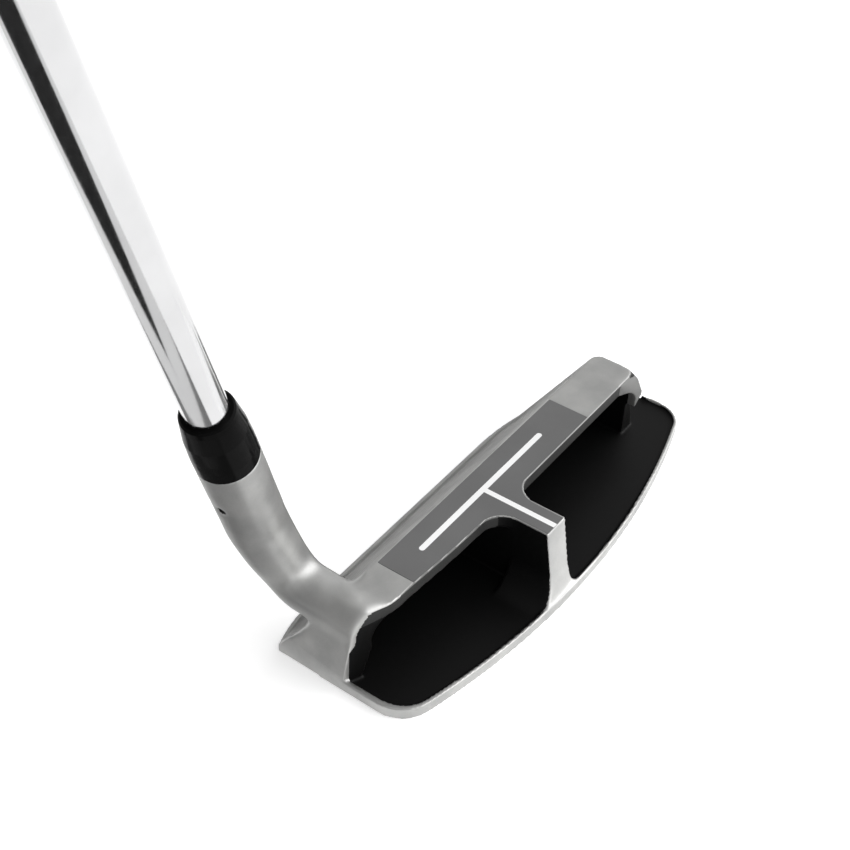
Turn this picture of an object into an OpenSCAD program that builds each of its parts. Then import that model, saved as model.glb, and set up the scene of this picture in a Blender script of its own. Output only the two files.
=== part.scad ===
// Right-handed heel-shafted mallet putter with a lofted face.
// X runs from heel to toe, Y towards the target, Z up from the ground.
// The origin is on the sole, straight below the middle of the sight line.
// All sizes are in millimetres.

/* [Head] */
// Height of the flat top deck above the sole
deck_h = 21; // [17:0.5:26]
// Distance from the sight line forward to the deck's front edge
deck_front = 5.5; // [4.5:0.1:7]
// Distance from the sight line back to the deck's rear edge
deck_rear = 6; // [4.5:0.1:8]
// How far the toe end of the deck lies from the middle
deck_toe = 59.8; // [50:0.5:63]
// Distance from the sight line forward to the leading edge
lead_edge = 20.5; // [17:0.5:24]
// Straight-line distance from the middle to the heel side
heel_reach = 52.2; // [50:0.5:58]
// Straight-line distance from the middle to the toe side of the sole
toe_reach = 73.5; // [68:0.5:80]
// Distance from the sight line back to the rearmost point
rear_reach = 24.9; // [23:0.2:32]
// Radius of the long curve along the rear
rear_r = 213; // [160:1:300]
// Radius of the rear heel corner
heel_corner_r = 9; // [5:0.5:12]
// Radius of the rear toe corner
toe_corner_r = 8; // [4:0.5:12]

/* [Cavities] */
// Thickness of the sole plate
sole_t = 2; // [1.5:0.1:3]
// Height of the low rim above the ground
rim_h = 3; // [2.6:0.1:5]
// Thickness of the low rim
rim_t = 1; // [0.8:0.1:2]
// Depth of the deck's rear edge before it undercuts
deck_lip = 3.4; // [2.5:0.1:5]
// Wall between the striking face and the undercut
face_wall = 7; // [4.5:0.5:9]
// Width of the rib that carries the sight line back
rib_w = 7.2; // [5:0.2:10]
// Distance from the sight line back to the rib's top end
rib_end = 19.7; // [17:0.1:21]
// Radius where the rib meets the deck
rib_fillet = 6; // [3:0.5:8]

/* [Face] */
// Number of score lines
score_count = 9; // [5:1:11]
// Distance between score lines
score_pitch = 2.4; // [1.8:0.1:2.5]
// Width of a score line
score_w = 0.6; // [0.3:0.1:1]
// Depth of a score line
score_depth = 0.3; // [0.1:0.05:0.5]

/* [Paint fill] */
// Depth of the shallow pocket that holds the dark top panel
panel_t = 0.4; // [0.2:0.05:0.8]
// Bare metal left around the panel
panel_margin = 0.35; // [0.2:0.05:1]
// Distance from the middle to the panel's heel end
panel_heel = 33.2; // [28:0.2:36]
// Distance from the middle to the panel's toe end
panel_toe = 36.8; // [30:0.2:45]
// Length of the sight line's bar along the face
bar_len = 49.2; // [30:0.2:56]
// Width of the sight line
line_w = 1.4; // [0.8:0.1:2.5]

/* [Neck and shaft] */
// Lie angle between the shaft and the ground
lie = 72; // [70:0.5:76]
// Where the shaft's axis meets the ground, heelwards of the middle
axis_x = 39.4; // [38:0.1:41]
// How far the shaft's axis stands in front of the sight line
axis_y = 23.2; // [22:0.1:24]
// Length of the axis from the ground to the top of the hosel
hosel_top = 63.1; // [58:0.1:75]
// Outer radius of the hosel
hosel_r = 6.7; // [6.2:0.1:8]
// Depth of the shaft socket
socket_depth = 28; // [22:0.5:32]
// Outer radius of the shaft's tip
tip_r = 4.5; // [4.2:0.05:4.8]
// Outer radius of the shaft's butt
butt_r = 7.35; // [7:0.05:7.7]
// Wall of the shaft tube
tube_t = 0.7; // [0.5:0.05:1]
// Thickness of the adhesive around the shaft in its socket
glue_t = 0.12; // [0.05:0.01:0.3]
// Length of the whole club along the shaft's axis
club_len = 864; // [840:1:915]
// Where the first step in the shaft lies
first_step = 250; // [200:1:300]
// Number of steps in the shaft
step_count = 12; // [6:1:16]
// Length of the ferrule
ferrule_len = 15; // [10:0.5:25]
// Radius of the ferrule at its top end
ferrule_top_r = 5.6; // [5.2:0.1:6]
// Radius of the cross pin that locks the shaft
pin_r = 0.75; // [0.5:0.05:1.2]
// How far the cross pin lies below the top of the hosel
pin_drop = 11.8; // [8:0.2:16]
// Length of the plug in the shaft's tip
plug_len = 12; // [6:1:20]

/* [Grip] */
// Length of the grip
grip_len = 267; // [220:1:300]
// Radius of the grip's lower mouth
grip_mouth_r = 9.2; // [8.8:0.1:11]
// Radius of the grip's rounded back at the cap
grip_butt_r = 13.5; // [12:0.1:16]
// How far the flat thumb face lies from the axis at the cap
grip_flat = 10.6; // [10:0.1:12]
// Thickness of the tape under the grip
tape_t = 0.3; // [0.1:0.05:0.6]
// Thickness of the grip's end cap
cap_t = 5; // [3:0.5:8]

/* [Hidden] */
$fn = 64;
axis_tilt = -(90 - lie);
rear_cx = (toe_reach - heel_reach) / 2 - 2.5;
rear_cy = rear_r - rear_reach;
toe_sweep_r = 70;
toe_sweep_x = 32;
toe_nose_r = 22;
toe_nose_x = toe_reach - toe_nose_r;
toe_sweep_y = lead_edge - toe_sweep_r;
toe_nose_y = toe_sweep_y
  + sqrt(pow(toe_sweep_r - toe_nose_r, 2) - pow(toe_nose_x - toe_sweep_x, 2));
heel_sweep_r = 40;
heel_sweep_x = -38;
block_toe = deck_toe + 2.6;
block_heel = 5.2 - heel_reach;
sole_relief = 0.4;
rim_shift = 0.45;
neck_top = 40;
neck_sides = 28;
neck_parts = 4;
ridge_r = 5.8;
ridge_x = 7.4 - heel_reach;
rib_cove_heel = 8;
rib_cove_toe = 3;
cavity_corner_r = 6.5;
wing_corner_r = 3;
wing_x = 57.2;
pin_reach = hosel_r + 1;
loft = atan2(lead_edge - deck_front, deck_h);
wall_run = face_wall / cos(loft);
socket_r = tip_r + glue_t;
socket_end = hosel_top - socket_depth;
grip_from = club_len - grip_len;
last_step = grip_from - 6;
tape_r = butt_r + tape_t;

// Points on an arc, from angle a0 to a1 in n steps, from step first on
function arc(cx, cy, r, a0, a1, n, first = 0) =
  [for (i = [first:n]) let (a = a0 + (a1 - a0) * i / n) [cx + r * cos(a), cy + r * sin(a)]];

// Height in plan of the middle of a corner that touches the rear curve
function corner_y(middle_x, r) =
  rear_cy - sqrt(pow(rear_r - r, 2) - pow(middle_x - rear_cx, 2));

// Outline of the sole, drawn in by a distance
module sole_outline(inset = 0) {
  heel_cx = heel_corner_r - heel_reach;
  toe_cx = toe_reach - toe_corner_r;
  heel_cy = corner_y(heel_cx, heel_corner_r);
  toe_cy = corner_y(toe_cx, toe_corner_r);
  nose_a = atan2(toe_nose_y - toe_sweep_y, toe_nose_x - toe_sweep_x);
  heel_a = atan2(heel_cy - rear_cy, heel_cx - rear_cx);
  toe_a = atan2(toe_cy - rear_cy, toe_cx - rear_cx);
  polygon(concat(
    arc(toe_sweep_x, toe_sweep_y, toe_sweep_r - inset, 90, nose_a, 8),
    arc(toe_nose_x, toe_nose_y, toe_nose_r - inset, nose_a, 0, 12, 1),
    arc(toe_cx, toe_cy, toe_corner_r - inset, 0, toe_a, 8),
    arc(rear_cx, rear_cy, rear_r - inset, toe_a, heel_a, 24, 1),
    arc(heel_cx, heel_cy, heel_corner_r - inset, heel_a, -180, 8, 1),
    arc(heel_sweep_x, lead_edge - heel_sweep_r, heel_sweep_r - inset, 110, 90, 5)));
}

// Smooth curve through four values, for t from 0 to 1 between b and c
function blend(a, b, c, d, t) =
  b + (c - a) * t / 2 + (a - 2.5 * b + 2 * c - d / 2) * t * t
    + (1.5 * (b - c) + (d - a) / 2) * t * t * t;

// Smooth line through all of the stops but the first and the last
function smooth_line(stops, n) =
  concat([for (i = [1:len(stops) - 3], k = [0:n - 1])
            blend(stops[i - 1], stops[i], stops[i + 1], stops[i + 2], k / n)],
         [stops[len(stops) - 2]]);

// Plan of the deck bar between its heel end and its rounded toe end
module deck_plan() {
  corner_r = 2.6;
  corner_x = deck_toe - corner_r;
  polygon(concat(
    [[block_heel, -deck_rear]],
    arc(corner_x, corner_r - deck_rear, corner_r, -90, 0, 5),
    arc(corner_x, deck_front - corner_r, corner_r, 0, 90, 6),
    [[block_heel, deck_front]]));
}

// Plan of the space behind the deck's heel end, where its rear edge sweeps forward
module heel_opening() {
  edge = smooth_line([[-heel_reach - 12, 4.6], [-heel_reach - 4, 1.4], [-heel_reach + 0.8, -0.4],
                      [-heel_reach + 4.8, -2.1], [-heel_reach + 8.8, -3.5],
                      [-heel_reach + 12.4, 1.6 - deck_rear], [-heel_reach + 19, 1.2 - deck_rear],
                      [-heel_reach + 31, 0.4 - deck_rear], [-heel_reach + 42, -deck_rear],
                      [-heel_reach + 50, -deck_rear]], 4);
  polygon(concat(edge, [[-heel_reach + 42, -60], [-heel_reach - 4, -60]]));
}

// Everything that lies along the shaft's axis is drawn upright and laid over here
module on_axis() {
  translate([-axis_x, axis_y, 0]) rotate([0, axis_tilt, 0]) children();
}

// Solid block behind the lofted face, before it is hollowed
module face_block() {
  hull() {
    translate([0, 0, deck_h - 0.5]) linear_extrude(0.5) deck_plan();
    linear_extrude(0.6) intersection() {
      sole_outline();
      translate([-60, -deck_rear]) square([60 + block_toe, 40]);
    }
  }
}

// Hollow under the deck, seen from the toe: it follows the lofted face
module undercut_side() {
  top = deck_h - deck_lip;
  back = -deck_rear - 5;
  front_top = lead_edge - wall_run - (lead_edge - deck_front) * top / deck_h;
  front_low = lead_edge - wall_run - (lead_edge - deck_front) * sole_t / deck_h;
  polygon([[back, sole_t], [front_low - 2, sole_t], [front_low - 0.6, sole_t + 0.6],
           [front_low - 1, sole_t + 2], [front_top, top - 1], [front_top - 1, top], [back, top]]);
}

// The two hollows seen from behind, with a rounded upper corner at each end
module undercut_back() {
  top = deck_h - deck_lip;
  heel_x = cavity_corner_r - heel_reach + 7.2;
  toe_x = wing_x - wing_corner_r;
  polygon(concat([[-rib_w / 2, 0], [4 - heel_reach, 0]],
                 arc(heel_x, top - cavity_corner_r, cavity_corner_r, 180, 90, 8),
                 [[-rib_w / 2, top]]));
  polygon(concat([[rib_w / 2, 0], [rib_w / 2, top]],
                 arc(toe_x, top - wing_corner_r, wing_corner_r, 90, 0, 8),
                 [[wing_x, 0]]));
}

module undercuts() {
  span = 2 * toe_reach;
  intersection() {
    translate([-toe_reach, 0, 0]) rotate([90, 0, 90]) linear_extrude(span) undercut_side();
    translate([0, span / 2, 0]) rotate([90, 0, 0]) linear_extrude(span) undercut_back();
  }
}

// Rib's cross-section below the deck, with a cove at each side of its foot
module rib_foot() {
  half = rib_w / 2;
  difference() {
    translate([-half - rib_cove_heel, 0]) square([half + rib_cove_heel, sole_t + rib_cove_heel]);
    translate([-half - rib_cove_heel, sole_t + rib_cove_heel]) circle(r = rib_cove_heel);
  }
  difference() {
    square([half + rib_cove_toe, sole_t + rib_cove_toe]);
    translate([half + rib_cove_toe, sole_t + rib_cove_toe]) circle(r = rib_cove_toe);
  }
}

// Web between the two cavities, wide where it joins the deck and at its foot
module rib() {
  half = rib_w / 2;
  f = rib_fillet;
  run = rear_reach - rim_t - rib_end;
  difference() {
    intersection() {
      linear_extrude(deck_h) sole_outline();
      union() {
        linear_extrude(deck_h) difference() {
          translate([-half - f, -rear_reach]) square([rib_w + 2 * f, rear_reach]);
          for (s = [-1, 1]) {
            translate([s * (half + f), -deck_rear - f]) circle(r = f);
            translate([s * (half + f) - f, -rear_reach - f]) square([2 * f, rear_reach - deck_rear]);
          }
        }
        rotate([90, 0, 0]) linear_extrude(rear_reach) rib_foot();
      }
    }
    translate([-toe_reach, -rib_end, deck_h]) rotate([0, 90, 0]) linear_extrude(2 * toe_reach)
      polygon([[-1, 0], [-1, -rear_reach], [deck_h - rim_h, -rear_reach], [deck_h - rim_h, -run - 0.2],
               [deck_h - rim_h - 1, -run + 0.4], [deck_h - rim_h - 2.5, -run + 1],
               [deck_h - rim_h - 5, -run + 1.9], [0, 0]]);
  }
}

// Sole plate, relieved around its lower edge
module sole_plate() {
  translate([0, 0, sole_relief]) linear_extrude(sole_t - sole_relief) sole_outline();
  linear_extrude(sole_relief) sole_outline(sole_relief);
}

// Outside of the heel, from the ridge down to the sole
module heel_wall() {
  ridge_side = ridge_x - ridge_r + 0.05;
  intersection() {
    translate([0, lead_edge, 0]) rotate([90, 0, 0]) linear_extrude(lead_edge + deck_rear)
      polygon([[-heel_reach, sole_relief], [-heel_reach, rim_h], [ridge_side, deck_h - ridge_r - 1],
               [ridge_side + 0.7, deck_h - ridge_r + 2], [ridge_x, deck_h - ridge_r + 2],
               [ridge_x, sole_relief]]);
    translate([-heel_reach, 0, 0]) rotate([90, 0, 90]) linear_extrude(heel_reach)
      polygon([[-deck_rear, 0], [lead_edge - 1, 0], [deck_front - 1, deck_h], [-deck_rear, deck_h]]);
    linear_extrude(deck_h) sole_outline();
  }
}

// Point on the shaft's axis, a distance u from the ground
function axis_point(u) = [u * sin(axis_tilt) - axis_x, axis_y, u * cos(axis_tilt)];

// Stops along the neck's middle: place and radius. It leaves the shaft's axis,
// bends back and ends as a ridge along the top of the heel
function neck_stops() = [
  [axis_point(neck_top + 9), hosel_r],
  [axis_point(neck_top + 3), hosel_r],
  [axis_point(neck_top - 2), hosel_r],
  [[axis_point(29.3)[0], axis_y - 1.5, deck_h + 6.9], hosel_r - 0.3],
  [[axis_point(22.6)[0], axis_y - 3.9, deck_h + 0.5], hosel_r - 0.8],
  [[ridge_x - 1, axis_y - 7.6, deck_h - 2.9], ridge_r],
  [[ridge_x - 0.4, axis_y - 12.8, deck_h - ridge_r + 1.7], ridge_r],
  [[ridge_x - 0.1, axis_y - 19, deck_h - ridge_r + 0.7], ridge_r],
  [[ridge_x, axis_y - 25, deck_h - ridge_r], ridge_r],
  [[ridge_x, axis_y - 30, deck_h - ridge_r], ridge_r]];

// Ring of points square to the neck's middle line
function neck_ring(middle, along, r) =
  let (t = along / norm(along), side = [1, 0, 0] - t[0] * t, e1 = side / norm(side), e2 = cross(e1, t))
  [for (j = [0:neck_sides - 1]) let (w = 360 * j / neck_sides)
    middle + r * cos(w) * e1 + r * sin(w) * e2];

// Neck that flows from the heel of the block into the hosel
module neck() {
  m = neck_sides;
  places = smooth_line([for (s = neck_stops()) s[0]], neck_parts);
  radii = smooth_line([for (s = neck_stops()) s[1]], neck_parts);
  count = len(places);
  last = count - 1;
  rings = [for (i = [0:last])
    neck_ring(places[i], places[min(i + 1, last)] - places[max(i - 1, 0)], radii[i])];
  points = [for (ring = rings, q = ring) q];
  sides = [for (i = [0:count - 2], j = [0:m - 1])
    let (p = i * m + j, q = i * m + (j + 1) % m) [p, q, q + m, p + m]];
  polyhedron(points, concat([[for (j = [m - 1:-1:0]) j]], sides,
                            [[for (j = [0:m - 1]) last * m + j]]));
  on_axis() translate([0, 0, neck_top + 2]) cylinder(r = hosel_r, h = hosel_top - neck_top - 2);
}

// Upright slice across the deck, used to draw the wing
module slice(x, t) {
  translate([x, 0, 0]) rotate([90, 0, 90]) linear_extrude(t) children();
}

// Small wing that ends the deck at the toe
module toe_wing() {
  back = -deck_rear;
  hull() {
    slice(52, 0.5) polygon([[back + 2, deck_h], [back, deck_h], [back, deck_h - deck_lip],
                            [back + 2, deck_h - deck_lip]]);
    slice(wing_x, 0.4) polygon([[back + 2, deck_h], [back + 0.3, deck_h - 0.1], [back - 1.3, deck_h - 2],
                                [back - 2.6, deck_h - 6], [back - 2.5, deck_h - 8.8],
                                [back + 2, deck_h - 9]]);
    slice(deck_toe - 0.4, 0.4) polygon([[back + 2.6, deck_h], [back + 1.4, deck_h - 0.2],
                                        [back - 1.2, deck_h - 1.8], [back - 2.8, deck_h - 5],
                                        [back - 2.7, deck_h - 6.4], [back + 2, deck_h - 7]]);
  }
}

// Plan of the dark panel: the deck between its ends, and the rib's top
module panel_plan() {
  m = panel_margin;
  half = rib_w / 2 - m;
  f = rib_fillet;
  difference() {
    union() {
      translate([-panel_heel, -deck_rear + m])
        square([panel_heel + panel_toe, deck_front + deck_rear - 2 * m]);
      translate([-half - f, -deck_rear - f + m]) square([2 * (half + f), f + 1]);
      translate([-half, -rib_end + m]) square([2 * half, rib_end]);
    }
    for (s = [-1, 1]) {
      translate([s * (half + f), -deck_rear - f + m]) circle(r = f);
    }
    translate([0, m]) heel_opening();
  }
}

// Plan of the T-shaped sight line
module line_plan() {
  r = line_w / 2;
  translate([-bar_len / 2 + r, -r]) square([bar_len - line_w, line_w]);
  for (s = [-1, 1]) translate([s * (bar_len / 2 - r), 0]) circle(r = r);
  translate([-r, -rib_end + panel_margin]) square([line_w, rib_end - panel_margin]);
}

// Straight grooves across the striking face
module score_lines() {
  heel_end = 37;
  length = 72;
  translate([-heel_end, lead_edge, 0]) rotate([loft, 0, 0])
    for (i = [1:score_count])
      translate([0, -score_depth, i * score_pitch + 1]) cube([length, 2, score_w]);
}

// Low rim around the rear of the sole, thinner towards the toe
module rim() {
  linear_extrude(rim_h) difference() {
    sole_outline();
    translate([rim_shift, 0]) sole_outline(rim_t);
    translate([-heel_reach - 1, 1]) square([heel_reach + toe_reach, lead_edge]);
    translate([block_toe, -3.2]) square([toe_reach, lead_edge]);
  }
}

module head() {
  color("silver") difference() {
    union() {
      difference() {
        union() {
          face_block();
          heel_wall();
          neck();
        }
        translate([0, 0, sole_t]) linear_extrude(deck_h) heel_opening();
      }
      sole_plate();
      rim();
      rib();
      toe_wing();
    }
    undercuts();
    translate([0, 0, deck_h - panel_t]) linear_extrude(1) panel_plan();
    score_lines();
    on_axis() translate([0, 0, socket_end]) cylinder(r = socket_r, h = hosel_top);
    on_axis() pin_space(pin_reach);
  }
}

// Path of the cross pin, towards the heel and the toe of the hosel
module pin_space(reach) {
  translate([-reach, 0, hosel_top - pin_drop]) rotate([0, 90, 0]) cylinder(r = pin_r, h = 2 * reach, $fn = 32);
}

module top_panel() {
  color("dimgray") translate([0, 0, deck_h - panel_t]) linear_extrude(panel_t) difference() {
    panel_plan();
    line_plan();
  }
}

module sight_line() {
  color("white") translate([0, 0, deck_h - panel_t]) linear_extrude(panel_t) line_plan();
}

module ferrule() {
  mid_r = (hosel_r + ferrule_top_r) / 2;
  color("black") on_axis() translate([0, 0, hosel_top]) rotate_extrude()
    polygon([[tip_r, 0], [hosel_r, 0], [hosel_r, ferrule_len * 0.2],
             [hosel_r - 0.08, ferrule_len * 0.35], [mid_r + 0.28, ferrule_len * 0.6],
             [ferrule_top_r + 0.2, ferrule_len * 0.9], [ferrule_top_r, ferrule_len - 0.4],
             [ferrule_top_r - 0.4, ferrule_len], [tip_r, ferrule_len]]);
}

// Outer radius of the shaft after a number of steps
function step_r(i) = tip_r + (butt_r - tip_r) * i / step_count;
function step_z(i) = first_step + (last_step - first_step) * i / step_count;

module shaft() {
  taper = 1.2;
  outer = concat([[tip_r, socket_end + 0.5]],
    [for (i = [0:step_count - 1], k = [0, 1])
      k == 0 ? [step_r(i), step_z(i)] : [step_r(i + 1), step_z(i) + taper]],
    [[butt_r, club_len - cap_t]]);
  inner = [for (i = [len(outer) - 1:-1:0]) [outer[i][0] - tube_t, outer[i][1]]];
  color("gainsboro") difference() {
    on_axis() rotate_extrude() polygon(concat(outer, inner));
    on_axis() pin_space(pin_reach);
  }
}

module cross_pin() {
  recess = 1;
  reach = hosel_r - recess;
  color("gray") on_axis() pin_space(reach);
}

module shaft_adhesive() {
  color("khaki") difference() {
    on_axis() translate([0, 0, socket_end]) cylinder(r = socket_r, h = socket_depth);
    on_axis() translate([0, 0, socket_end + 0.5]) cylinder(r = tip_r, h = socket_depth);
    on_axis() pin_space(pin_reach);
  }
}

module tip_plug() {
  color("burlywood") on_axis() translate([0, 0, socket_end + 0.5])
    cylinder(r = tip_r - tube_t, h = plug_len);
}

module grip_tape() {
  color("ivory") on_axis() translate([0, 0, grip_from]) difference() {
    cylinder(r = tape_r, h = grip_len - cap_t);
    translate([0, 0, -1]) cylinder(r = butt_r, h = grip_len);
  }
}

// Rounded back with a flat thumb face towards the toe
module grip_section(r, flat, h) {
  intersection() {
    cylinder(r = r, h = h);
    translate([-2 * r, -r, -1]) cube([2 * r + flat, 2 * r, h + 2]);
  }
}

module grip() {
  pistol = 0.72;
  color("black") on_axis() translate([0, 0, grip_from]) difference() {
    union() {
      hull() {
        cylinder(r = grip_mouth_r, h = 1, $fn = 32);
        translate([0, 0, grip_len * 0.3]) grip_section(10.6, 9.2, 1);
      }
      hull() {
        translate([0, 0, grip_len * 0.3]) grip_section(10.6, 9.2, 1);
        translate([0, 0, grip_len * pistol]) grip_section(11.6, 9.8, 1);
      }
      hull() {
        translate([0, 0, grip_len * pistol]) grip_section(11.6, 9.8, 1);
        translate([0, 0, grip_len - cap_t - 1]) grip_section(grip_butt_r, grip_flat, 1);
      }
    }
    translate([0, 0, -1]) cylinder(r = tape_r, h = grip_len + 2);
  }
}

module grip_cap() {
  vent_r = 1;
  color("black") on_axis() translate([0, 0, club_len - cap_t]) difference() {
    union() {
      grip_section(grip_butt_r, grip_flat, cap_t - 1.5);
      translate([0, 0, cap_t - 1.5]) grip_section(grip_butt_r - 1.5, grip_flat - 1, 1.5);
    }
    translate([0, 0, -1]) cylinder(r = vent_r, h = cap_t + 2);
  }
}

head();
top_panel();
sight_line();
ferrule();
shaft();
cross_pin();
shaft_adhesive();
tip_plug();
grip_tape();
grip();
grip_cap();
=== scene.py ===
# %% [markdown]
# # Mallet putter
# A right-handed putter: a cast head with two dark cavities behind a lofted face, a curved neck,
# a black ferrule, a chromed steel shaft and a rubber grip. X runs from heel to toe, Y towards the
# target and Z up from the ground. Sizes here are in millimetres unless a name says otherwise.

# %% Kit and frame
import math
import bpy
import bmesh
import numpy as np
from mathutils import Matrix, Vector
from mathutils.bvhtree import BVHTree


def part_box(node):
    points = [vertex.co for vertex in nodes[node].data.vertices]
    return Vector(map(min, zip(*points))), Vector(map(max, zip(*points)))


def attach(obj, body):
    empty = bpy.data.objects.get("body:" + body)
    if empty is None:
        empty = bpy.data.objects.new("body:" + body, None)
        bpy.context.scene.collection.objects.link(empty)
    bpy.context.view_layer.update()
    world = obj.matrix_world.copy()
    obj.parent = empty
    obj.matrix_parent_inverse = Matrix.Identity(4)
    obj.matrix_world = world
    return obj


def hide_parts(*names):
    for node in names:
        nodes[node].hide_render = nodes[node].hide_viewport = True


MM = 0.001
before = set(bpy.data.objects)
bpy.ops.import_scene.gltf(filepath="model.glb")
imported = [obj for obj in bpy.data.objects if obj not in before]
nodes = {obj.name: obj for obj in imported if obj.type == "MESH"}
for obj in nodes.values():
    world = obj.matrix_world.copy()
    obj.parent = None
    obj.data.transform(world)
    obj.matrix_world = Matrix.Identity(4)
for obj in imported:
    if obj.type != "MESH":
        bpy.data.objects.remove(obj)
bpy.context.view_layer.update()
print("frame pieces:", ", ".join(sorted(nodes)))

# %% [markdown]
# ## Camera
# The club is seen from behind the heel, looking down on the head, so the neck and the shaft leave
# the picture at the upper left.

# %% Camera
eye = Vector((-216.8, -126.93, 253.73)) * MM
right = Vector((0.58064, -0.81316, 0.0404))
up = Vector((0.51146, 0.40292, 0.75899))
back = right.cross(up).normalized()
lens = bpy.data.cameras.new("view")
lens.lens = 63.53
lens.sensor_width = 36
lens.clip_start = 0.01
camera = bpy.data.objects.new("view", lens)
bpy.context.collection.objects.link(camera)
camera.matrix_world = Matrix.Translation(eye) @ Matrix((right, up, back)).transposed().to_4x4()
scene = bpy.context.scene
scene.camera = camera
scene.view_settings.view_transform = "Standard"
print("camera at", [round(v, 3) for v in eye])

# %% [markdown]
# ## Shape of the head
# The casting is poured in a mould, so every inner corner is a fillet and every edge is a little
# round. These are the driving sizes of the head, which the paint and the fillets follow.

# %% Sizes of the head
low, high = (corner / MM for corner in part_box("head"))
panel_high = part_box("top_panel")[1] / MM
panel_margin = 0.35
deck_h = panel_high.z
deck_front = panel_high.y + panel_margin
deck_lip = 3.4
rim_h = 3.0
rim_t = 1.0
rim_shift = 0.45
lead_edge = 20.5
heel_reach = 52.2
toe_reach = high.x
rear_reach = 24.9
rear_r = 213.0
heel_corner_r = 9.0
toe_corner_r = 8.0
face_wall = 7.0
rib_half = 3.6
rib_end = 19.7
wing_x = 57.2
lie = 72.0
axis_x = 39.4
axis_y = 23.2
hosel_top = 63.1
pin_drop = 11.8
pin_up = hosel_top - pin_drop
face_slope = (lead_edge - deck_front) / deck_h
wall_run = face_wall * math.hypot(1, face_slope)
print("head", [round(v, 1) for v in high - low], "mm")

# %% [markdown]
# ## Mesh tools
# Small helpers that the casting and the grip share. They work on whole arrays of points, because
# the casting has too many vertices to visit one by one. The soft step called fade is used for
# every mask, so that no edge of an effect is hard.

# %% Mesh tools
def add_object(name, mesh):
    """A new object in the scene."""
    obj = bpy.data.objects.new(name, mesh)
    bpy.context.collection.objects.link(obj)
    return obj


def settle(obj):
    """Turns an object's modifiers into plain mesh."""
    graph = bpy.context.evaluated_depsgraph_get()
    mesh = bpy.data.meshes.new_from_object(obj.evaluated_get(graph))
    obj.modifiers.clear()
    obj.data = mesh
    return mesh


def smooth_shading(mesh):
    mesh.polygons.foreach_set("use_smooth", [True] * len(mesh.polygons))


def points_mm(mesh):
    """Places of a mesh's vertices, in millimetres, as an array."""
    flat = np.zeros(len(mesh.vertices) * 3)
    mesh.vertices.foreach_get("co", flat)
    return flat.reshape(-1, 3) / MM


def normals_of(mesh):
    flat = np.zeros(len(mesh.vertices) * 3)
    mesh.vertices.foreach_get("normal", flat)
    return flat.reshape(-1, 3)


def distance_to_line(points, stops):
    """Distance from each point to a line through some stops."""
    best = np.full(len(points), 1e9)
    for a, b in zip(stops[:-1], stops[1:]):
        a, b = np.array(a, float), np.array(b, float)
        run = b - a
        t = np.clip((points - a) @ run / (run @ run), 0, 1)
        best = np.minimum(best, np.linalg.norm(points - (a + t[:, None] * run), axis=1))
    return best


def fade(distance, near, far):
    """1 closer than near, 0 past far, with a soft change between."""
    t = np.clip((far - distance) / (far - near), 0, 1)
    return t * t * (3 - 2 * t)


# %% [markdown]
# ## Casting
# One skin is drawn over the head's blocks, then the corner where the neck meets the deck and the
# face is smoothed into a wide fillet, as the wax pattern is. The neck's crest stands a little proud
# where it runs onto the deck. The deck under the paint fill lies a hair lower, so that the fill
# sits flush.

# %% Casting
skin = bpy.data.meshes.new("casting")
shell = bmesh.new()
for part in ("head", "top_panel", "sight_line"):
    shell.from_mesh(nodes[part].data)
bmesh.ops.remove_doubles(shell, verts=shell.verts, dist=1e-7)
shell.to_mesh(skin)
shell.free()
casting = add_object("head_casting", skin)
wrap = casting.modifiers.new("skin", "REMESH")
wrap.mode = "VOXEL"
fine_voxel, quick_voxel = 0.3, 0.6
wrap.voxel_size = fine_voxel * MM
settle(casting)
deck_corner = [(-44.2, -1, 21), (-42.6, 2, 21), (-41.2, 5.5, 21)]
neck_corner = [(-41, 13, 11), (-43.5, 16, 9), (-48, 15, 9.5), (-51, 11.5, 11)]
wing_line = [(53.5, -6.2, 20.8), (57.4, -5.8, 20.8), (59.3, -4, 20.8)]
neck_line = [(-44.8, 3, 17), (-45.2, 10.4, 17), (-45.8, 15.6, 18.1), (-46.4, 19.3, 21.5),
             (-48.5, 21.7, 28), (-51.5, 23.2, 37), (-54.5, 23.2, 46)]
rib_foot_line = [(-9, -23.6, 3), (-5, -23.3, 5), (0, -23.3, 6), (4, -23.4, 4), (6, -23.8, 3)]


def soften(obj, weights, rounds, name):
    """Smooths a mesh where the weights are high."""
    group = obj.vertex_groups.new(name=name)
    for step in range(1, 11):
        chosen = np.nonzero(np.round(weights * 10) == step)[0]
        group.add([int(i) for i in chosen], step / 10, "REPLACE")
    relax = obj.modifiers.new(name, "SMOOTH")
    relax.vertex_group = name
    relax.factor = 0.5
    relax.iterations = rounds
    settle(obj)
    obj.vertex_groups.clear()


shape = points_mm(casting.data)
crest_x, crest_y, crest_rise = -45.6, 0.5, 0.7
crest = crest_rise * fade(np.abs(shape[:, 0] - crest_x), 1.6, 4.4)
crest *= fade(np.abs(shape[:, 1] - crest_y), 1.0, 7.0) * fade(deck_h - shape[:, 2], 0.5, 3.0)
shape[:, 2] += crest
casting.data.vertices.foreach_set("co", (shape * MM).ravel())
casting.data.update()

coarse = 1
for line, near, far, rounds, name in ((neck_line, 7.2, 9.0, 110, "neck"),
                                      (neck_corner, 1.2, 5.0, 100, "neck_fillet"),
                                      (deck_corner, 1.0, 2.6, 12, "deck_fillet"),
                                      (wing_line, 0.9, 2.0, 12, "wing_edge"),
                                      (rib_foot_line, 1.2, 3.0, 16, "rib_foot")):
    weights = fade(distance_to_line(points_mm(casting.data), line), near, far)
    soften(casting, weights, rounds // coarse, name)
soften(casting, np.ones(len(casting.data.vertices)), 2, "edges")
smooth_shading(casting.data)
print("casting", len(casting.data.vertices), "vertices")

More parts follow.
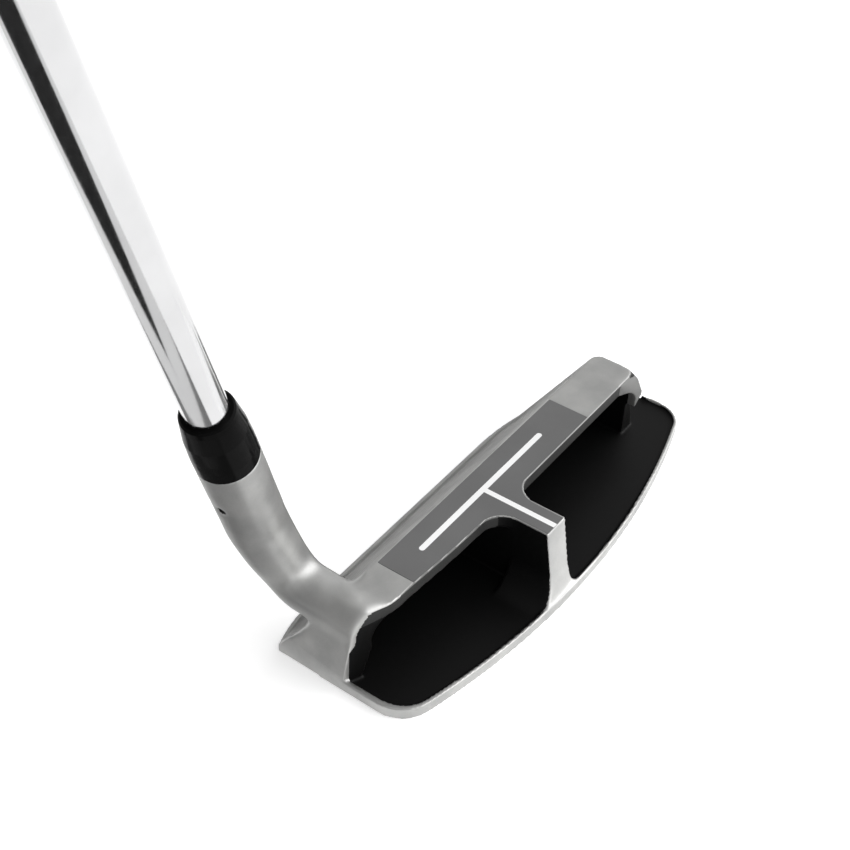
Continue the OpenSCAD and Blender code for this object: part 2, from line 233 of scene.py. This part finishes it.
# %% [markdown]
# ## Enamel
# The cavities are sprayed black, and the rim, the rib's end and the deck are wiped clean. The mask
# follows the same edges that a painter masks off. The band under the deck's rear edge is painted a
# little lighter than the enamel, as painted light. The deck's rear edge and the wing at the toe are
# partly darkened with the black, as painted shade.


# %% Enamel
def inside_rim(p):
    """True for points inside the inner edge of the rim."""
    x, y = p[:, 0] - rim_shift, p[:, 1]
    rear_cx = (toe_reach - heel_reach) / 2 - 2.5
    rear_cy = rear_r - rear_reach
    inside = np.hypot(x - rear_cx, y - rear_cy) < rear_r - rim_t
    for side, reach, r in ((-1, heel_reach, heel_corner_r), (1, toe_reach, toe_corner_r)):
        cx = side * (reach - r)
        cy = rear_cy - math.sqrt((rear_r - r) ** 2 - (cx - rear_cx) ** 2)
        inside &= side * x < reach - rim_t
        corner = (side * (x - cx) > 0) & (y < cy)
        inside &= ~corner | (np.hypot(x - cx, y - cy) < r - rim_t)
    return inside


def enamel_and_shade_mask(p, n):
    """1 for the black enamel and round the cross pin's hole, 0 on bare metal. Values between are
    painted light and painted shade.
    """
    x, y, z = p.T
    under_face = y < lead_edge - wall_run + 0.5 - face_slope * z
    rib_line = 0.35 - rib_end - 0.18 * np.minimum(deck_h - z, 13) - 0.35 * np.clip(8 - z, 0, 5)
    rib_foot = (np.abs(x + 2) < 11) & (y < rib_line) & (z > rim_h - 0.15)
    rib_face = (np.abs(x) < rib_half + 0.2) & (n[:, 1] < -0.75) & (y < -rib_end + 0.3)
    heel_side = (x < -46) & (n[:, 0] < -0.45)
    toe_side = (x > wing_x - 5) & (y < -6.15) & (z > deck_h - 10)
    toe_out = (x > 58.5) & (z > rim_h + 0.5) & (n[:, 0] > 0.5)
    low_side = (z < 1.2) | (n[:, 2] < -0.5) & (z < 1.9)
    painted = inside_rim(p) & under_face & (z < deck_h - 0.3)
    painted &= ~(rib_foot | rib_face | heel_side | toe_side | toe_out | low_side)
    # The casting round the cross pin's hole is coloured black as well.
    axis = np.array([-math.cos(math.radians(lie)), 0, math.sin(math.radians(lie))])
    across = np.array([axis[2], 0, -axis[0]])
    from_pin = p - (np.array([-axis_x, axis_y, 0]) + pin_up * axis)
    pin_hole = np.linalg.norm(from_pin - np.outer(from_pin @ across, across), axis=1) < 1.0
    pin_hole &= np.abs(from_pin @ across) < 6.62
    cover = (painted | pin_hole).astype(float)
    # The band under the deck's rear edge gets a lighter, part metal tone: painted light on a wall
    # that faces the room.
    lip = (n[:, 1] < -0.7) & (z > deck_h - deck_lip) & (z < deck_h - 0.3) & (np.abs(x) < wing_x)
    cover[lip & painted] = 0.586
    # The deck's rear edge and the wing at the toe are partly darkened with the black: painted shade.
    shaded_rear_edge = (n[:, 1] < -0.3) & (z > deck_h - 0.4) & (x > -38) & (y < -3) & (y > -13)
    shaded_wing = (toe_side | toe_out) & (z > deck_h - 11)
    cover[(shaded_rear_edge | shaded_wing) & (cover == 0)] = 0.53
    return cover


def fill_surface(names):
    """Corners and faces of some frame pieces, in millimetres."""
    corners, faces = [], []
    for name in names:
        mesh = nodes[name].data
        first = len(corners)
        corners += [v.co / MM for v in mesh.vertices]
        faces += [[first + i for i in face.vertices] for face in mesh.polygons]
    return corners, faces


places = points_mm(casting.data)
facing = normals_of(casting.data)
score_pitch = 2.4
score_first = 1.0
score_w = 0.6
score_extra = 0.16
score_heel, score_toe = -37, 35
along_face = places[:, 2] * math.hypot(1, face_slope)
phase = (along_face - score_first) % score_pitch
scored = (facing[:, 1] > 0.5) & (facing[:, 2] > 0.3) & (phase < score_w)
scored &= (along_face > score_first + score_pitch) & (places[:, 2] < deck_h - 0.6)
scored &= (places[:, 0] > score_heel) & (places[:, 0] < score_toe)
places[scored] -= score_extra * np.array([0, 0.814, 0.581])
mask = enamel_and_shade_mask(places, facing)
paint = casting.data.attributes.new("enamel_and_shade", "FLOAT", "POINT")
paint.data.foreach_set("value", mask.astype(np.float32))
bed_depth = 0.12
fill_tree = BVHTree.FromPolygons(*fill_surface(("top_panel", "sight_line")))
flat = (places[:, 2] > deck_h - 0.5) & (facing[:, 2] > 0.9)
for i in np.nonzero(flat)[0]:
    near, _, _, gap = fill_tree.find_nearest(Vector(places[i]))
    if math.hypot(near.x - places[i, 0], near.y - places[i, 1]) < 0.02:
        places[i, 2] -= bed_depth
casting.data.vertices.foreach_set("co", (places * MM).ravel())
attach(casting, "root")
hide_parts("head")
print("enamel covers", int(mask.sum()), "points")

# %% [markdown]
# ## Grip
# The grip is a moulded rubber sleeve with a flat thumb face towards the toe. Shallow bars cross
# the flat and rows of dimples run round the back. Both are pressed in, so the sleeve keeps its size.

# %% Grip
club_len = 864.0
grip_len = 267.0
cap_t = 5.0
tape_r = 7.65
vent_r = 1.0
around = 120
turn = np.arange(around) * 2 * math.pi / around
turn = (turn + math.pi) % (2 * math.pi) - math.pi


def sleeve_radius(r, flat):
    """Radius of a round section with a flat towards the toe, with soft corners."""
    soft = 0.9
    to_flat = np.where(np.cos(turn) > 0.3, flat / np.maximum(np.cos(turn), 0.3), 99.0)
    h = np.maximum(soft - np.abs(to_flat - r), 0) / soft
    return np.minimum(to_flat, r) - h * h * soft / 4


def sleeve_row(u, radius):
    """One ring of points around the shaft's axis, at a distance u from the ground."""
    tilt = math.radians(90 - lie)
    x, y = radius * np.cos(turn), radius * np.sin(turn)
    return np.stack([x * math.cos(tilt) - u * math.sin(tilt) - axis_x, y + axis_y,
                     x * math.sin(tilt) + u * math.cos(tilt)], axis=1)


def sleeve(name, rows, node):
    """A closed skin through rings: up the outside, over the top and down the bore."""
    mesh = bpy.data.meshes.new(name)
    count = len(rows)
    faces = []
    for i in range(count):
        for j in range(around):
            k = (j + 1) % around
            n = (i + 1) % count
            faces.append((i * around + j, i * around + k, n * around + k, n * around + j))
    mesh.from_pydata((np.concatenate(rows) * MM).tolist(), [], faces)
    mesh.update()
    smooth_shading(mesh)
    obj = add_object(name, mesh)
    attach(obj, "root")
    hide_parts(node)
    return obj


def pressed(z, radius):
    """How far the pattern is pressed in at a height on the grip."""
    edge_gap, bar_pitch, dimple_pitch, columns = 9.0, 3.0, 3.4, 30
    ends = fade(-min(z - edge_gap, grip_len - cap_t - edge_gap - z), 0, 2)
    on_flat = fade(np.abs(turn), 0.42, 0.5)
    bars = fade(abs((z / bar_pitch) % 1 - 0.5) * bar_pitch, 0.35, 0.8) * on_flat
    row = round(z / dimple_pitch)
    column = (turn * columns / (2 * math.pi) + 0.5 * (row % 2)) % 1 - 0.5
    gap = np.hypot(column * 2 * math.pi * radius / columns, z - row * dimple_pitch)
    dimples = fade(gap, 0.4, 1.15) * fade(-np.abs(turn), -0.95, -0.8)
    return ends * (0.35 * bars + 0.3 * dimples)


stops = np.array([0, 80, 192, 262])
backs = np.array([9.2, 10.6, 11.6, 13.5]) - 0.02
flats = np.array([9.2, 9.2, 9.8, 10.6]) - 0.02
step = 0.6
start = club_len - grip_len
rows = []
for z in np.concatenate([[0, 0.15, 0.5, 1], np.arange(1.5, 260.5, step), [261, 261.7, 261.95]]):
    radius = sleeve_radius(np.interp(z, stops, backs), np.interp(z, stops, flats))
    lip = max(0.6 - z, 0) ** 2 + max(z - 261.4, 0) ** 2
    rows.append(sleeve_row(start + z, radius - lip - pressed(z, radius)))
rows += [sleeve_row(start + z, np.full(around, tape_r)) for z in (261.95, 0)]
grip_skin = sleeve("grip_sleeve", rows, "grip")

rows = []
for z, inward in ((0, 0.25), (0.3, 0.02), (2.9, 0.02), (3.3, 0.2), (3.48, 0.6), (3.49, 1.5),
                  (4.6, 1.55), (4.9, 1.8), (4.98, 2.4), (4.98, 6)):
    rows.append(sleeve_row(club_len - cap_t + z, sleeve_radius(13.5, 10.6) - inward))
rows += [sleeve_row(club_len - cap_t + z, np.full(around, vent_r)) for z in (4.98, 0)]
cap_skin = sleeve("grip_cap_skin", rows, "grip_cap")
print("grip", len(grip_skin.data.vertices), "and cap", len(cap_skin.data.vertices), "vertices")

# %% [markdown]
# ## Materials
# Two effects are shared. Grain is a fine bead-blasted or moulded surface. Clouding is the slow
# change in tone that handling and polishing leave.


# %% Shared effects
def new_group(name, inputs, outputs):
    """An empty node group with named sockets."""
    group = bpy.data.node_groups.new(name, "ShaderNodeTree")
    for label, kind, value in inputs:
        socket = group.interface.new_socket(label, in_out="INPUT", socket_type=kind)
        socket.default_value = value
    for label, kind in outputs:
        group.interface.new_socket(label, in_out="OUTPUT", socket_type=kind)
    return group, group.nodes.new("NodeGroupInput"), group.nodes.new("NodeGroupOutput")


def grain_group():
    """Fine noise: a roughness between two values, and a height for a bump."""
    group, given, result = new_group(
        "surface_grain",
        [("Scale", "NodeSocketFloat", 3000.0), ("Stretch", "NodeSocketVector", (1, 1, 1)),
         ("Low", "NodeSocketFloat", 0.3), ("High", "NodeSocketFloat", 0.5)],
        [("Roughness", "NodeSocketFloat"), ("Height", "NodeSocketFloat")])
    place = group.nodes.new("ShaderNodeTexCoord")
    stretch = group.nodes.new("ShaderNodeVectorMath")
    stretch.operation = "MULTIPLY"
    noise = group.nodes.new("ShaderNodeTexNoise")
    noise.inputs["Detail"].default_value = 3
    span = group.nodes.new("ShaderNodeMapRange")
    span.inputs["From Min"].default_value = 0.3
    span.inputs["From Max"].default_value = 0.7
    link = group.links.new
    link(place.outputs["Object"], stretch.inputs[0])
    link(given.outputs["Stretch"], stretch.inputs[1])
    link(stretch.outputs[0], noise.inputs["Vector"])
    link(given.outputs["Scale"], noise.inputs["Scale"])
    link(noise.outputs["Fac"], span.inputs["Value"])
    link(given.outputs["Low"], span.inputs["To Min"])
    link(given.outputs["High"], span.inputs["To Max"])
    link(span.outputs["Result"], result.inputs["Roughness"])
    link(noise.outputs["Fac"], result.inputs["Height"])
    return group


def clouding_group():
    """Slow change between two colours."""
    group, given, result = new_group(
        "clouding",
        [("Colour A", "NodeSocketColor", (0.5, 0.5, 0.5, 1)),
         ("Colour B", "NodeSocketColor", (0.6, 0.6, 0.6, 1)),
         ("Scale", "NodeSocketFloat", 60.0)],
        [("Colour", "NodeSocketColor")])
    place = group.nodes.new("ShaderNodeTexCoord")
    noise = group.nodes.new("ShaderNodeTexNoise")
    noise.inputs["Detail"].default_value = 4
    span = group.nodes.new("ShaderNodeMapRange")
    span.inputs["From Min"].default_value = 0.35
    span.inputs["From Max"].default_value = 0.65
    mix = group.nodes.new("ShaderNodeMix")
    mix.data_type = "RGBA"
    link = group.links.new
    link(place.outputs["Object"], noise.inputs["Vector"])
    link(given.outputs["Scale"], noise.inputs["Scale"])
    link(noise.outputs["Fac"], span.inputs["Value"])
    link(span.outputs["Result"], mix.inputs["Factor"])
    link(given.outputs["Colour A"], mix.inputs["A"])
    link(given.outputs["Colour B"], mix.inputs["B"])
    link(mix.outputs["Result"], result.inputs["Colour"])
    return group


grain = grain_group()
clouding = clouding_group()
print("shared effects:", grain.name, "and", clouding.name)

# %% [markdown]
# ## Finishes
# Each finish starts from one shader with the two shared effects at its own scale. The casting is
# bead-blasted metal and takes its enamel, and some painted light and painted shade, from the mask.
# The shaft is chrome, which shows little of its own and mostly mirrors the room. The rest is paint,
# plastic, cork, tape and rubber.

# %% Finishes
def finish_of(name, colour_a, colour_b, rough, metallic=0.0, grain_mm=0.4, bump=0.1,
              cloud_mm=15.0, stretch=(1, 1, 1), **constants):
    """A finish from the two shared effects. Returns the material and its main nodes."""
    material = bpy.data.materials.new(name)
    material.use_nodes = True
    tree = material.node_tree
    surface = tree.nodes["Principled BSDF"]
    clouds = tree.nodes.new("ShaderNodeGroup")
    clouds.node_tree = clouding
    clouds.inputs["Colour A"].default_value = (*colour_a, 1)
    clouds.inputs["Colour B"].default_value = (*colour_b, 1)
    clouds.inputs["Scale"].default_value = 1000 / cloud_mm
    grains = tree.nodes.new("ShaderNodeGroup")
    grains.node_tree = grain
    grains.inputs["Scale"].default_value = 1000 / grain_mm
    grains.inputs["Stretch"].default_value = stretch
    grains.inputs["Low"].default_value = rough[0]
    grains.inputs["High"].default_value = rough[1]
    relief = tree.nodes.new("ShaderNodeBump")
    relief.inputs["Strength"].default_value = bump
    relief.inputs["Distance"].default_value = 0.05 * MM
    tree.links.new(clouds.outputs["Colour"], surface.inputs["Base Color"])
    tree.links.new(grains.outputs["Roughness"], surface.inputs["Roughness"])
    tree.links.new(grains.outputs["Height"], relief.inputs["Height"])
    tree.links.new(relief.outputs["Normal"], surface.inputs["Normal"])
    surface.inputs["Metallic"].default_value = metallic
    for label, value in constants.items():
        surface.inputs[label.replace("_", " ")].default_value = value
    return material, tree, surface, clouds, grains


def dress(name, material):
    """Gives a frame piece its finish."""
    slots = nodes[name].data.materials
    slots.clear()
    slots.append(material)


# Satin casting: bead-blasted metal, with black enamel where the mask is full, and painted light and
# painted shade where it is part way
satin, tree, surface, clouds, grains = finish_of(
    "cast_satin", (0.40, 0.40, 0.395), (0.50, 0.50, 0.49), (0.36, 0.5), metallic=1.0,
    grain_mm=0.35, bump=0.3, cloud_mm=9, Specular_IOR_Level=0.12)
enamel_and_shade = tree.nodes.new("ShaderNodeAttribute")
enamel_and_shade.attribute_name = "enamel_and_shade"
edge = tree.nodes.new("ShaderNodeMapRange")
edge.inputs["From Min"].default_value = 0.4
edge.inputs["From Max"].default_value = 0.6
tree.links.new(enamel_and_shade.outputs["Fac"], edge.inputs["Value"])
colour = tree.nodes.new("ShaderNodeMix")
colour.data_type = "RGBA"
colour.inputs["B"].default_value = (0.003, 0.003, 0.003, 1)
tree.links.new(edge.outputs["Result"], colour.inputs["Factor"])
tree.links.new(clouds.outputs["Colour"], colour.inputs["A"])
tree.links.new(colour.outputs["Result"], surface.inputs["Base Color"])
bare = tree.nodes.new("ShaderNodeMath")
bare.operation = "SUBTRACT"
bare.inputs[0].default_value = 1
tree.links.new(edge.outputs["Result"], bare.inputs[1])
tree.links.new(bare.outputs[0], surface.inputs["Metallic"])
casting.data.materials.clear()
casting.data.materials.append(satin)

dress("top_panel", finish_of("panel_charcoal", (0.12, 0.12, 0.12), (0.135, 0.135, 0.135),
                             (0.45, 0.6), grain_mm=0.3, bump=0.08)[0])
dress("sight_line", finish_of("line_white", (0.93, 0.93, 0.93), (0.97, 0.97, 0.97),
                              (0.35, 0.5), grain_mm=0.5, bump=0.05)[0])
dress("ferrule", finish_of("ferrule_black", (0.002, 0.002, 0.002), (0.004, 0.004, 0.004),
                           (0.12, 0.2), grain_mm=2, bump=0.02, Specular_IOR_Level=0.03)[0])
dress("shaft", finish_of("chrome_bright", (0.62, 0.62, 0.625), (0.67, 0.67, 0.675),
                         (0.1, 0.15), metallic=1.0, grain_mm=0.8, bump=0.01,
                         stretch=(1, 1, 0.1))[0])
dress("cross_pin", finish_of("pin_oxide", (0.02, 0.02, 0.02), (0.04, 0.04, 0.04),
                             (0.4, 0.6), metallic=0.8)[0])
dress("shaft_adhesive", finish_of("epoxy_amber", (0.5, 0.42, 0.25), (0.6, 0.5, 0.32),
                                  (0.2, 0.3))[0])
dress("tip_plug", finish_of("cork", (0.45, 0.3, 0.16), (0.62, 0.45, 0.28), (0.8, 0.95),
                            grain_mm=1.5, bump=0.6, cloud_mm=2)[0])
dress("grip_tape", finish_of("crepe_tape", (0.7, 0.66, 0.55), (0.78, 0.74, 0.64), (0.7, 0.85),
                             grain_mm=0.8, bump=0.5, stretch=(1, 1, 3))[0])
rubber = finish_of("grip_rubber", (0.012, 0.012, 0.012), (0.022, 0.022, 0.022), (0.55, 0.75),
                   grain_mm=0.5, bump=0.5, cloud_mm=20)[0]
for skin_object in (grip_skin, cap_skin):
    skin_object.data.materials.append(rubber)
print("finishes:", len(bpy.data.materials))

# %% [markdown]
# ## Floor
# A pale plain floor. It glows a little, so that it stays white next to the bright metal.

# %% Floor
floor_mesh = bpy.data.meshes.new("floor")
plane = bmesh.new()
bmesh.ops.create_grid(plane, x_segments=1, y_segments=1, size=4)
plane.to_mesh(floor_mesh)
plane.free()
floor = add_object("floor", floor_mesh)
pale = bpy.data.materials.new("floor_pale")
pale.use_nodes = True
pale_surface = pale.node_tree.nodes["Principled BSDF"]
pale_surface.inputs["Base Color"].default_value = (0.9, 0.9, 0.9, 1)
pale_surface.inputs["Roughness"].default_value = 0.9
pale_surface.inputs["Specular IOR Level"].default_value = 0
pale_surface.inputs["Emission Color"].default_value = (1, 1, 1, 1)
pale_surface.inputs["Emission Strength"].default_value = 0.42
floor_mesh.materials.append(pale)
print("floor is set")

# %% [markdown]
# ## Room light
# An even bright room, with a brighter box low on the toe side and a darker wall behind the heel.
# Both are soft patches on the world, so no lamp shows an edge in the metal.

# %% Room light
room = bpy.data.worlds.new("studio")
scene.world = room
room.use_nodes = True
tree = room.node_tree
sky = tree.nodes["Background"]
sky.inputs["Color"].default_value = (1, 1, 1, 1)
direction = tree.nodes.new("ShaderNodeTexCoord")


def patch(towards, start, end, before, after):
    """A factor on the room's light that changes around one direction."""
    dot = tree.nodes.new("ShaderNodeVectorMath")
    dot.operation = "DOT_PRODUCT"
    dot.inputs[1].default_value = Vector(towards).normalized()
    tree.links.new(direction.outputs["Generated"], dot.inputs[0])
    span = tree.nodes.new("ShaderNodeMapRange")
    span.interpolation_type = "SMOOTHSTEP"
    span.inputs["From Min"].default_value = start
    span.inputs["From Max"].default_value = end
    span.inputs["To Min"].default_value = before
    span.inputs["To Max"].default_value = after
    tree.links.new(dot.outputs["Value"], span.inputs["Value"])
    return span.outputs["Result"]


def times(a, b):
    node = tree.nodes.new("ShaderNodeMath")
    node.operation = "MULTIPLY"
    tree.links.new(a, node.inputs[0])
    tree.links.new(b, node.inputs[1])
    return node.outputs[0]


side_box = patch((0.62, -0.7, 0.3), 0.42, 0.95, 0.62, 2.9)
left_wall = patch((-0.58, 0.81, 0.0), 0.1, 0.8, 1.0, 0.45)
tree.links.new(times(side_box, left_wall), sky.inputs["Strength"])
print("room light is set")

# %% [markdown]
# ## Flags
# Dark and bright cards around chrome draw its streaks, as in a studio. These cards lie on the
# floor and only reflections see them. They were placed for this one camera, so from other sides
# they only add soft streaks. They belong to the stage and not to the club.

# %% Flags
def flag(name, corners, glow):
    """A card that only gloss sees. Glow is its brightness."""
    tone = bpy.data.materials.new(name)
    tone.use_nodes = True
    surface = tone.node_tree.nodes["Principled BSDF"]
    surface.inputs["Base Color"].default_value = (0, 0, 0, 1)
    surface.inputs["Specular IOR Level"].default_value = 0
    surface.inputs["Emission Color"].default_value = (1, 1, 1, 1)
    surface.inputs["Emission Strength"].default_value = glow
    card = bmesh.new()
    card.faces.new([card.verts.new(Vector(corner) * MM) for corner in corners])
    mesh = bpy.data.meshes.new(name)
    card.to_mesh(mesh)
    card.free()
    mesh.materials.append(tone)
    obj = add_object(name, mesh)
    obj.visible_camera = False
    obj.visible_diffuse = False
    obj.visible_shadow = False


def lying(outline, height=0.3):
    """Corners of a card that lies just over the floor."""
    return [(x, y, height) for x, y in outline]


flag("flag_far", lying([(-114, 22), (-165, 95), (-240, 130), (-700, 320), (-700, -560),
                        (-215, -130), (-164, -60)], 0.6), 0.02)
flag("flag_heel", lying([(-55, 24), (-60, 60), (-92, 110), (-92, -50), (-62, -10)]), 0.24)
flag("flag_foot", lying([(-54, -6), (-54, 27), (-69, 27), (-69, -6)], 0.5), 0.6)
flag("flag_left", lying([(-92, 110), (-150, 170), (-400, 200), (-400, -300), (-120, -75),
                         (-92, -50)]), 0.92)
flag("flag_front", lying([(-46, 22), (92, 22), (100, 48), (-40, 48)]), 0.05)
flag("card_rear", lying([(-8, -27), (84, -30), (84, -55), (-8, -52)]), 1.4)
print("flags and cards are set")
